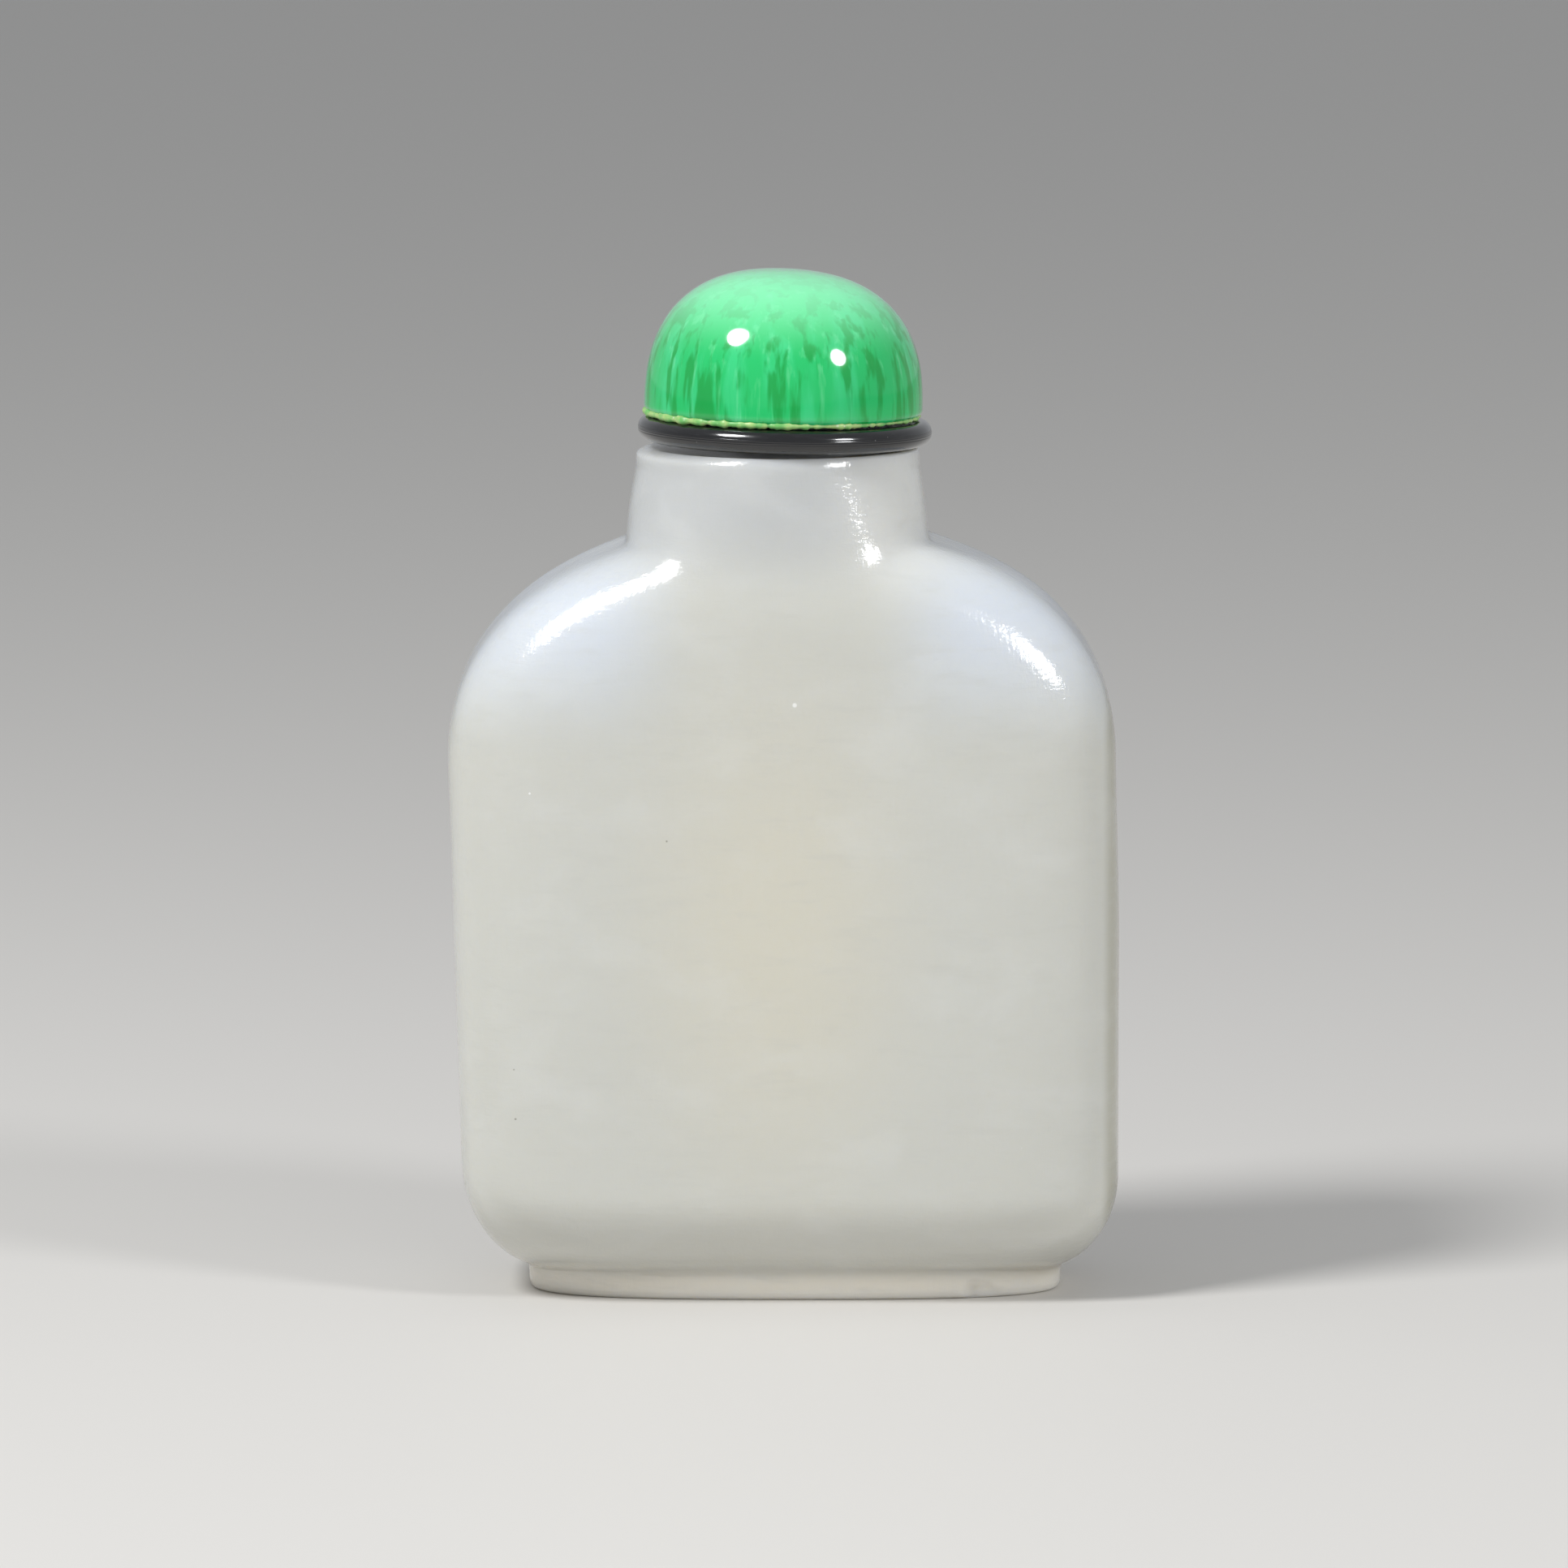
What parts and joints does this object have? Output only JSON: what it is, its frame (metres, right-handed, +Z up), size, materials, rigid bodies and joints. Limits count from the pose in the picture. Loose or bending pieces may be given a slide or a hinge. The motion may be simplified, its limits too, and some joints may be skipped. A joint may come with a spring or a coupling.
{
  "type": "snuff bottle",
  "caption": "Flattened stone snuff bottle with rounded shoulders, a short neck and a low foot, closed by a glass dome stopper on a black collar.",
  "frame": {"origin": "on the surface that the foot stands on, under the middle of the whole outline", "axes": "+Z up the bottle to the stopper, +X to the right as the broad face is seen, -Y out of that face towards the viewer"},
  "size_m": [0.0446, 0.0218, 0.0679],
  "materials": {
    "jade": "polished translucent greyish-white nephrite, softly waxy",
    "green_glass": "polished opaque glass streaked in mint, emerald and olive green",
    "black_collar": "polished black with fine turning lines",
    "cork": "matt natural cork"
  },
  "bodies": {
    "root": {"bottle": "jade", "stopper_dome": "green_glass", "stopper_collar": "black_collar", "cork": "cork"}
  },
  "joints": []
}
